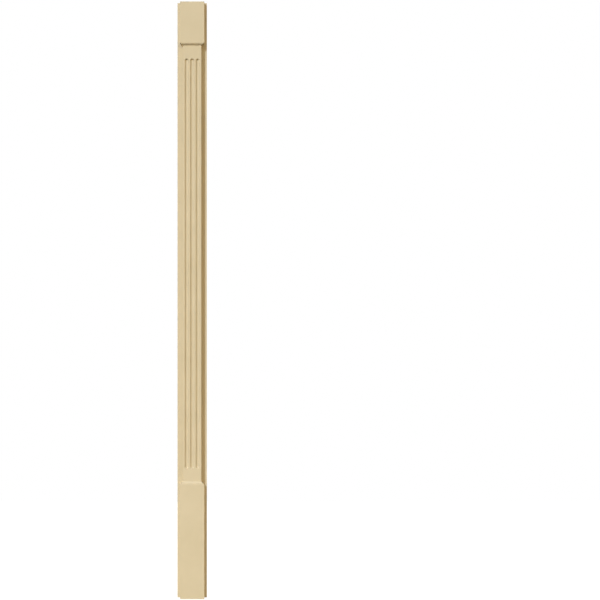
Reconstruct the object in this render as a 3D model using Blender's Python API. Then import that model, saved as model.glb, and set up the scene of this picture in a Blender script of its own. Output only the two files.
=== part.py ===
"""A moulded door-surround pilaster: flat back plate, fluted shaft, plain capital block, tall plinth block.

Metres, +Z up. The origin is at the middle of the flat back, which lies against the wall.
The front faces -Y.
"""

import math

import bmesh
import bpy

# Overall sizes
HEIGHT = 2.184
PLATE_WIDTH = 0.108
PLATE_THICKNESS = 0.0111

# Shaft: its width, and how far its face stands in front of the plate
SHAFT_WIDTH = 0.0667
SHAFT_PROUD = 0.0234

# Blocks: each height runs from the end of the pilaster to where its moulding meets the shaft
CAPITAL_HEIGHT = 0.162
PLINTH_HEIGHT = 0.430

# Moulding between shaft and block: a cove that leaves the shaft at a slight crease, and an upright fillet.
# It reaches a little further at the sides than in front.
COVE_HEIGHT = 0.0079
COVE_SIDE = 0.0074
COVE_FRONT = 0.0062
COVE_CREASE = math.radians(16)
FILLET_HEIGHT = 0.0027
COVE_STEPS = 9

# Round by which the block grows out of the fillet: plain at its sides, hardly any at its front
ROUND_HEIGHT = 0.0024
ROUND_SIDE = 0.0037
ROUND_FRONT = 0.0004
ROUND_STEPS = 5

# Flutes: hollows left by a ball-nosed cutter, stopped short of both mouldings
FLUTE_COUNT = 3
FLUTE_WIDTH = 0.0137
FLUTE_DEPTH = 0.0054
FLUTE_STOP = 0.046
FLUTE_FACETS = 40

# Rounding of the long front edges
EDGE_RADIUS = 0.0008
EDGE_STEPS = 2

# Primed urethane
PRIMER_COLOUR = (0.62, 0.50, 0.32, 1.0)
PRIMER_ROUGHNESS = 0.6

# Places that follow from the sizes
BOTTOM = -HEIGHT / 2
TOP = HEIGHT / 2
PLINTH_TOP = BOTTOM + PLINTH_HEIGHT
CAPITAL_FOOT = TOP - CAPITAL_HEIGHT
PLATE_FRONT = -PLATE_THICKNESS
SHAFT_FRONT = PLATE_FRONT - SHAFT_PROUD


def moulding_run():
    """Points (rise, side, front) of the moulding: how far it stands out from the shaft's sides and face."""
    last = 2 * math.atan2(COVE_SIDE, COVE_HEIGHT) - COVE_CREASE
    radius = math.hypot(COVE_HEIGHT, COVE_SIDE) / (2 * math.sin((last - COVE_CREASE) / 2))
    points = []
    for count in range(COVE_STEPS + 1):
        turn = COVE_CREASE + (last - COVE_CREASE) * count / COVE_STEPS
        reach = radius * (math.cos(COVE_CREASE) - math.cos(turn))
        points.append((radius * (math.sin(turn) - math.sin(COVE_CREASE)), reach,
                       reach * COVE_FRONT / COVE_SIDE))
    for count in range(ROUND_STEPS + 1):
        turn = math.pi / 2 * count / ROUND_STEPS
        points.append((COVE_HEIGHT + FILLET_HEIGHT + ROUND_HEIGHT * (1 - math.cos(turn)),
                       COVE_SIDE + ROUND_SIDE * math.sin(turn),
                       COVE_FRONT + ROUND_FRONT * math.sin(turn)))
    return points


def rounded_corner(x, y, start):
    """Points round an outer corner at x, y, turning a quarter anticlockwise from the angle start."""
    middle = start + math.pi / 4
    centre_x = x - EDGE_RADIUS * math.sqrt(2) * math.cos(middle)
    centre_y = y - EDGE_RADIUS * math.sqrt(2) * math.sin(middle)
    points = []
    for count in range(EDGE_STEPS + 1):
        turn = start + math.pi / 2 * count / EDGE_STEPS
        points.append((centre_x + EDGE_RADIUS * math.cos(turn), centre_y + EDGE_RADIUS * math.sin(turn)))
    return points


def outline(side_step, front_step):
    """The cross-section, anticlockwise from above, with the core this far outside the shaft."""
    core = SHAFT_WIDTH / 2 + side_step
    front = SHAFT_FRONT - front_step
    plate = PLATE_WIDTH / 2
    left_edge = math.pi
    front_edge = math.pi * 3 / 2
    return (rounded_corner(-core, front, left_edge)
            + rounded_corner(core, front, front_edge)
            + [(core, PLATE_FRONT)]
            + rounded_corner(plate, PLATE_FRONT, front_edge)
            + [(plate, 0), (-plate, 0)]
            + rounded_corner(-plate, PLATE_FRONT, left_edge)
            + [(-core, PLATE_FRONT)])


def sections():
    """Levels (z, side, front) up the pilaster: plinth block, moulding, shaft, moulding, capital block."""
    run = moulding_run()
    plinth = [(PLINTH_TOP - rise, side, front) for rise, side, front in reversed(run)]
    capital = [(CAPITAL_FOOT + rise, side, front) for rise, side, front in run]
    return [(BOTTOM, *plinth[0][1:])] + plinth + capital + [(TOP, *capital[-1][1:])]


def add_object(name, bm):
    """Puts a bmesh into the scene as an object."""
    mesh = bpy.data.meshes.new(name)
    bm.to_mesh(mesh)
    bm.free()
    obj = bpy.data.objects.new(name, mesh)
    bpy.context.scene.collection.objects.link(obj)
    return obj


def moulded_body():
    """Plate, shaft and blocks as one body, so the mouldings return round the sides with true mitres."""
    bm = bmesh.new()
    rings = [[bm.verts.new((x, y, z)) for x, y in outline(side, front)] for z, side, front in sections()]
    for lower, upper in zip(rings, rings[1:]):
        for left in range(len(lower)):
            right = (left + 1) % len(lower)
            bm.faces.new((lower[left], lower[right], upper[right], upper[left]))
    bm.faces.new(reversed(rings[0]))
    bm.faces.new(rings[-1])
    return add_object("pilaster", bm)


def flute_cutter():
    """One round-ended bar for each flute, side by side in front of the shaft."""
    bar_radius = (FLUTE_WIDTH ** 2 / 4 + FLUTE_DEPTH ** 2) / (2 * FLUTE_DEPTH)
    bar_y = SHAFT_FRONT + FLUTE_DEPTH - bar_radius
    low = PLINTH_TOP + FLUTE_STOP + FLUTE_WIDTH / 2
    high = CAPITAL_FOOT - FLUTE_STOP - FLUTE_WIDTH / 2
    land = (SHAFT_WIDTH - FLUTE_COUNT * FLUTE_WIDTH) / (FLUTE_COUNT + 1)
    quarter = FLUTE_FACETS // 4
    bm = bmesh.new()
    for index in range(FLUTE_COUNT):
        bar_x = -SHAFT_WIDTH / 2 + land + FLUTE_WIDTH / 2 + index * (FLUTE_WIDTH + land)
        edge = []
        for centre, first in ((low, -quarter), (high, 0)):
            for count in range(quarter + 1):
                turn = math.tau * (first + count) / FLUTE_FACETS
                edge.append(bm.verts.new((bar_x + bar_radius * math.cos(turn), bar_y,
                                          centre + bar_radius * math.sin(turn))))
        lines = [bm.edges.new(pair) for pair in zip(edge, edge[1:])]
        bmesh.ops.spin(bm, geom=edge + lines, cent=(bar_x, bar_y, 0), axis=(0, 0, 1),
                       angle=math.tau, steps=FLUTE_FACETS)
    bmesh.ops.remove_doubles(bm, verts=bm.verts, dist=1e-6)
    bmesh.ops.recalc_face_normals(bm, faces=bm.faces)
    cutter = add_object("flute_cutter", bm)
    cutter.hide_render = True
    cutter.display_type = "WIRE"
    return cutter


def primer():
    """Factory primer: a matt light tan."""
    material = bpy.data.materials.new("primer")
    material.use_nodes = True
    shader = material.node_tree.nodes["Principled BSDF"]
    shader.inputs["Base Color"].default_value = PRIMER_COLOUR
    shader.inputs["Roughness"].default_value = PRIMER_ROUGHNESS
    shader.inputs["Metallic"].default_value = 0.0
    return material


def pilaster():
    """The whole pilaster, with its flutes cut and its curved faces shaded smooth."""
    body = moulded_body()
    cut = body.modifiers.new("flutes", "BOOLEAN")
    cut.operation = "DIFFERENCE"
    cut.solver = "EXACT"
    cut.object = flute_cutter()
    body.data.shade_smooth()
    body.data.set_sharp_from_angle(angle=math.radians(35))
    body.data.materials.append(primer())
    return body


for existing in list(bpy.data.objects):
    bpy.data.objects.remove(existing)

pilaster()
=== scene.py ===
import math

import bmesh
import bpy
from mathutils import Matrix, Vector


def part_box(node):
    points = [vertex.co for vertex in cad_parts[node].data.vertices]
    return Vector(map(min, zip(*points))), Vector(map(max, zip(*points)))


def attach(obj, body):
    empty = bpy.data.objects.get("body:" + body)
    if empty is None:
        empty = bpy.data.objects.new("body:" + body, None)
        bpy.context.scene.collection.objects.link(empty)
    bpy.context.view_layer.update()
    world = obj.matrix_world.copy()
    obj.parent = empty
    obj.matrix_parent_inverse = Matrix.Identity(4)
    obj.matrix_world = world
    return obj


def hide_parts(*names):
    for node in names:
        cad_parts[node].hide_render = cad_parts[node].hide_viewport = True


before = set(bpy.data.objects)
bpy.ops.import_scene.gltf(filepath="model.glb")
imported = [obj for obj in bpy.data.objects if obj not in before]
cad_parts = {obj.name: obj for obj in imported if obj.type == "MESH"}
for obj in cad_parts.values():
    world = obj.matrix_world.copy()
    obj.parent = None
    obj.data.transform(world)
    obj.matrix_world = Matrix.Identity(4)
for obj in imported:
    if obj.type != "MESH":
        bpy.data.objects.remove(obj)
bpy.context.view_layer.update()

# The pilaster: plate, fluted shaft and both blocks are one piece of high-density urethane, moulded whole,
# primed light tan at the factory, and glued and nailed flat to the wall beside a door. The mould leaves
# every edge slightly soft, and the flutes keep the round bottoms and ends of a ball-nosed cutter.
low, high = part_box("pilaster")
plate_thickness = 0.0111
shaft_width = 0.0667
capital_height = 0.162
plinth_height = 0.430
cove_height = 0.0079
cove_side = 0.0074
cove_front = 0.0062
cove_crease = math.radians(16)
fillet_height = 0.0027
round_height = 0.0024
round_side = 0.0037
round_front = 0.0004
flute_count = 3
flute_width = 0.0137
flute_depth = 0.0054
flute_stop = 0.046
flute_segments = 56
flute_rings = 36
soft_edge = 0.0005
soft_edge_steps = 3
soft_edge_angle = math.radians(62)
smooth_angle = math.radians(35)
cove_steps = 14
round_steps = 8
trim = 0.01

plate_front = high.y - plate_thickness
shaft_front = low.y + cove_front + round_front
plinth_top = low.z + plinth_height
capital_foot = high.z - capital_height
core_back = (high.y + plate_front) / 2


def only(obj):
    """Makes one object the active one and the only one selected."""
    bpy.ops.object.select_all(action="DESELECT")
    obj.select_set(True)
    bpy.context.view_layer.objects.active = obj


def place_in_mesh(name):
    """Names the new primitive and moves its place and scale into its mesh."""
    bpy.ops.object.transform_apply(location=True, rotation=True, scale=True)
    bpy.context.object.name = name
    return bpy.context.object


def edit_faces(chosen):
    """Enters edit mode with only the faces selected that pass a test of their middle and normal."""
    bpy.ops.object.mode_set(mode="EDIT")
    bpy.ops.mesh.select_mode(type="FACE")
    bpy.ops.mesh.select_all(action="DESELECT")
    mesh = bmesh.from_edit_mesh(bpy.context.object.data)
    for face in mesh.faces:
        face.select_set(chosen(face.calc_center_median(), face.normal))
    bmesh.update_edit_mesh(bpy.context.object.data)


def add_block(name, left, right, front, back, bottom, top):
    """A box between the given sides."""
    bpy.ops.object.select_all(action="DESELECT")
    bpy.ops.mesh.primitive_cube_add(
        size=1,
        location=((left + right) / 2, (front + back) / 2, (bottom + top) / 2),
        scale=(right - left, back - front, top - bottom))
    return place_in_mesh(name)


def finish_with(obj, name, kind, **settings):
    """Adds a modifier with its settings and applies it."""
    modifier = obj.modifiers.new(name, kind)
    for setting, value in settings.items():
        setattr(modifier, setting, value)
    only(obj)
    bpy.ops.object.modifier_apply(modifier=name)


def moulding_run():
    """Points (rise, side, front) of the moulding: how far it stands out from the shaft's sides and face."""
    last = 2 * math.atan2(cove_side, cove_height) - cove_crease
    radius = math.hypot(cove_height, cove_side) / (2 * math.sin((last - cove_crease) / 2))
    run = []
    for count in range(cove_steps + 1):
        turn = cove_crease + (last - cove_crease) * count / cove_steps
        rise = radius * (math.sin(turn) - math.sin(cove_crease))
        reach = radius * (math.cos(cove_crease) - math.cos(turn))
        run.append((rise, reach, reach * cove_front / cove_side))
    for count in range(round_steps + 1):
        turn = math.pi / 2 * count / round_steps
        run.append((cove_height + fillet_height + round_height * (1 - math.cos(turn)),
                    cove_side + round_side * math.sin(turn),
                    cove_front + round_front * math.sin(turn)))
    return run


def shape_core():
    """Shaft and blocks, drawn up from the plinth block: its top is extruded and resized at each level."""
    run = moulding_run()
    levels = [(plinth_top - rise, side, front) for rise, side, front in reversed(run)]
    levels += [(capital_foot + rise, side, front) for rise, side, front in run]
    levels += [(high.z + trim, *run[-1][1:])]
    z, side, front = levels[0]
    wide = shaft_width / 2 + side
    core = add_block("core", -wide, wide, shaft_front - front, core_back, low.z, z)
    edit_faces(lambda middle, normal: normal.z > 0.5)
    for next_z, next_side, next_front in levels[1:]:
        bpy.ops.mesh.extrude_region_move(TRANSFORM_OT_translate={"value": (0, 0, next_z - z)})
        wider = (shaft_width / 2 + next_side) / (shaft_width / 2 + side)
        deeper = (core_back - shaft_front + next_front) / (core_back - shaft_front + front)
        bpy.ops.transform.resize(value=(wider, deeper, 1), center_override=(0, core_back, next_z))
        z, side, front = next_z, next_side, next_front
    bpy.ops.object.mode_set(mode="OBJECT")
    return core


def shape_flute():
    """The round-ended bar that leaves a flute: a ball on the centre line whose upper half is drawn up."""
    radius = (flute_width ** 2 / 4 + flute_depth ** 2) / (2 * flute_depth)
    bottom = plinth_top + flute_stop + flute_width / 2
    top = capital_foot - flute_stop - flute_width / 2
    bpy.ops.object.select_all(action="DESELECT")
    bpy.ops.mesh.primitive_uv_sphere_add(
        segments=flute_segments, ring_count=flute_rings, radius=radius,
        location=(0, shaft_front + flute_depth - radius, bottom), rotation=(math.pi / 2, 0, 0))
    bar = place_in_mesh("flute_bar")
    edit_faces(lambda middle, normal: middle.z > bottom)
    bpy.ops.mesh.extrude_region_move(TRANSFORM_OT_translate={"value": (0, 0, top - bottom)})
    bpy.ops.object.mode_set(mode="OBJECT")
    return bar


pilaster = add_block("moulded_pilaster", low.x, high.x, plate_front, high.y, low.z, high.z + trim)
core = shape_core()
finish_with(pilaster, "core", "BOOLEAN", operation="UNION", solver="EXACT", object=core)
bpy.data.objects.remove(core)

# Plate and core are drawn a little too high, and both are cut off level in one go.
edit_faces(lambda middle, normal: True)
bpy.ops.mesh.bisect(plane_co=(0, 0, high.z), plane_no=(0, 0, 1), use_fill=True, clear_outer=True)
bpy.ops.object.mode_set(mode="OBJECT")

flute_land = (shaft_width - flute_count * flute_width) / (flute_count + 1)
bar = shape_flute()
for index in range(flute_count):
    bar.location.x = (index - (flute_count - 1) / 2) * (flute_width + flute_land)
    finish_with(pilaster, "flute", "BOOLEAN", operation="DIFFERENCE", solver="EXACT", object=bar)
bpy.data.objects.remove(bar)

finish_with(pilaster, "soft edges", "BEVEL", width=soft_edge, segments=soft_edge_steps,
            limit_method="ANGLE", angle_limit=soft_edge_angle, use_clamp_overlap=False)
only(pilaster)
bpy.ops.object.shade_smooth_by_angle(angle=smooth_angle)
finish_with(pilaster, "flat faces", "WEIGHTED_NORMAL", keep_sharp=True)


def linear(code):
    """An sRGB hex colour as linear red, green, blue and alpha."""
    channels = [int(code[start:start + 2], 16) / 255 for start in (1, 3, 5)]
    return tuple(c / 12.92 if c <= 0.04045 else ((c + 0.055) / 1.055) ** 2.4 for c in channels) + (1.0,)


def add_node(tree, kind, inputs=None, **settings):
    """Adds a node, sets its settings, and fills or links its inputs."""
    node = tree.nodes.new(kind)
    for setting, value in settings.items():
        setattr(node, setting, value)
    for name, value in (inputs or {}).items():
        if isinstance(value, bpy.types.NodeSocket):
            tree.links.new(value, node.inputs[name])
        else:
            node.inputs[name].default_value = value
    return node


def sprayed_primer():
    """Factory primer on moulded urethane: a matt, even light tan that the eye reads as nearly flat.
    Up close it has the fine orange peel of a spray gun and slow, faint changes of tone and sheen."""
    darker_tan = "#d0c09b"
    lighter_tan = "#d5c5a1"
    mottle_mm = 90
    peel_mm = 1.6
    peel_height = 0.00004
    peel_strength = 0.25
    roughness_low = 0.5
    roughness_high = 0.6
    material = bpy.data.materials.new("sprayed primer")
    material.use_nodes = True
    tree = material.node_tree
    shader = tree.nodes["Principled BSDF"]
    place = add_node(tree, "ShaderNodeTexCoord")
    mottle = add_node(tree, "ShaderNodeTexNoise", {
        "Vector": place.outputs["Object"], "Scale": 1000 / mottle_mm, "Detail": 3.0, "Roughness": 0.55})
    tone = add_node(tree, "ShaderNodeValToRGB", {"Fac": mottle.outputs["Fac"]})
    tone.color_ramp.elements[0].position = 0.3
    tone.color_ramp.elements[0].color = linear(darker_tan)
    tone.color_ramp.elements[1].position = 0.7
    tone.color_ramp.elements[1].color = linear(lighter_tan)
    peel = add_node(tree, "ShaderNodeTexNoise", {
        "Vector": place.outputs["Object"], "Scale": 1000 / peel_mm, "Detail": 1.0})
    bump = add_node(tree, "ShaderNodeBump", {
        "Height": peel.outputs["Fac"], "Strength": peel_strength, "Distance": peel_height})
    sheen = add_node(tree, "ShaderNodeMapRange", {
        "Value": mottle.outputs["Fac"], "To Min": roughness_low, "To Max": roughness_high})
    tree.links.new(tone.outputs["Color"], shader.inputs["Base Color"])
    tree.links.new(sheen.outputs["Result"], shader.inputs["Roughness"])
    tree.links.new(bump.outputs["Normal"], shader.inputs["Normal"])
    shader.inputs["IOR"].default_value = 1.48
    return material


pilaster.data.materials.clear()
pilaster.data.materials.append(sprayed_primer())
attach(pilaster, "root")
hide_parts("pilaster")

# The studio floor: a plain matt board under the foot of the pilaster, and no part of it.
# The camera sees it as pure white, like the surround, but it throws only a little light back up.
floor_size = 5.0
bpy.ops.object.select_all(action="DESELECT")
bpy.ops.mesh.primitive_plane_add(size=floor_size, location=(0, 0, low.z))
floor = place_in_mesh("floor")


def white_board():
    """Matt board that glows white for the camera and only faintly for the pilaster."""
    board_colour = "#5c554b"
    faint_glow = 0.11
    material = bpy.data.materials.new("white board")
    material.use_nodes = True
    tree = material.node_tree
    shader = tree.nodes["Principled BSDF"]
    shader.inputs["Base Color"].default_value = linear(board_colour)
    shader.inputs["Roughness"].default_value = 0.9
    shader.inputs["Specular IOR Level"].default_value = 0.1
    shader.inputs["Emission Color"].default_value = linear("#ffffff")
    path = add_node(tree, "ShaderNodeLightPath")
    glow = add_node(tree, "ShaderNodeMapRange", {
        "Value": path.outputs["Is Camera Ray"], "To Min": faint_glow})
    tree.links.new(glow.outputs["Result"], shader.inputs["Emission Strength"])
    return material


floor.data.materials.append(white_board())

# The studio light: a bluish-white key lamp high on the left in front, and a dim, wide one for the back.
# The surround fills the shadows: a warm glow above the horizon, a paler band over it, dark blue overhead
# and nothing from below. The camera sees the surround as plain white.
key_way = (0.625, 1, -0.71)
key_strength = 2.55
key_spread_deg = 4.0
key_colour = "#dbe9ff"
back_way = (0.5, -1, -0.6)
back_strength = 1.2
back_spread_deg = 30.0
back_colour = "#fff1de"
surround_strength = 1.78
below_colour = "#000000"
warm_colour = "#ffd9a8"
warm_from = 0.02
warm_to = 0.28
soft_colour = "#dee6cc"
soft_from = 0.36
soft_to = 0.57
dark_colour = "#1c2a74"
dark_from = 0.7


def add_sun(name, way, strength, spread_deg, colour):
    """A lamp so far away that its light is parallel along the given way."""
    bpy.ops.object.light_add(type="SUN")
    sun = bpy.context.object
    sun.name = name
    sun.data.energy = strength
    sun.data.color = linear(colour)[:3]
    sun.data.angle = math.radians(spread_deg)
    sun.rotation_euler = Vector(way).to_track_quat("-Z", "Y").to_euler()
    return sun


add_sun("key", key_way, key_strength, key_spread_deg, key_colour)
add_sun("back", back_way, back_strength, back_spread_deg, back_colour)

world = bpy.data.worlds.new("surround")
world.use_nodes = True
bpy.context.scene.world = world
tree = world.node_tree
tree.nodes.clear()
direction = add_node(tree, "ShaderNodeTexCoord")
split = add_node(tree, "ShaderNodeSeparateXYZ", {0: direction.outputs["Generated"]})
shade = add_node(tree, "ShaderNodeValToRGB", {"Fac": split.outputs["Z"]})
shade.color_ramp.elements[0].color = linear(below_colour)
shade.color_ramp.elements[1].position = warm_from
shade.color_ramp.elements[1].color = linear(warm_colour)
higher_bands = ((warm_to, warm_colour), (soft_from, soft_colour),
                (soft_to, soft_colour), (dark_from, dark_colour))
for rise, colour in higher_bands:
    shade.color_ramp.elements.new(rise).color = linear(colour)
path = add_node(tree, "ShaderNodeLightPath")
fill = add_node(tree, "ShaderNodeBackground", {
    "Color": shade.outputs["Color"], "Strength": surround_strength})
seen = add_node(tree, "ShaderNodeBackground", {"Color": linear("#ffffff"), "Strength": 1.0})
both = add_node(tree, "ShaderNodeMixShader", {
    0: path.outputs["Is Camera Ray"], 1: fill.outputs[0], 2: seen.outputs[0]})
add_node(tree, "ShaderNodeOutputWorld", {"Surface": both.outputs[0]})
bpy.context.scene.view_settings.view_transform = "Standard"

# The camera: square on, level with the middle of the pilaster and some way back. Its lens is shifted so
# that the pilaster stands left of the middle of the picture, as in the photograph.
sensor_width_mm = 36
camera_distance = 5.3
picture_size = 600
metres_per_pixel = 0.003675
pilaster_pixel_x = 192.2
pilaster_pixel_y = 300.25
bpy.ops.object.camera_add(
    location=(0, plate_front - camera_distance, (low.z + high.z) / 2), rotation=(math.pi / 2, 0, 0))
camera = bpy.context.object
camera.data.sensor_width = sensor_width_mm
camera.data.lens = sensor_width_mm * camera_distance / (picture_size * metres_per_pixel)
camera.data.shift_x = (picture_size / 2 - pilaster_pixel_x) / picture_size
camera.data.shift_y = (pilaster_pixel_y - picture_size / 2) / picture_size
bpy.context.scene.camera = camera
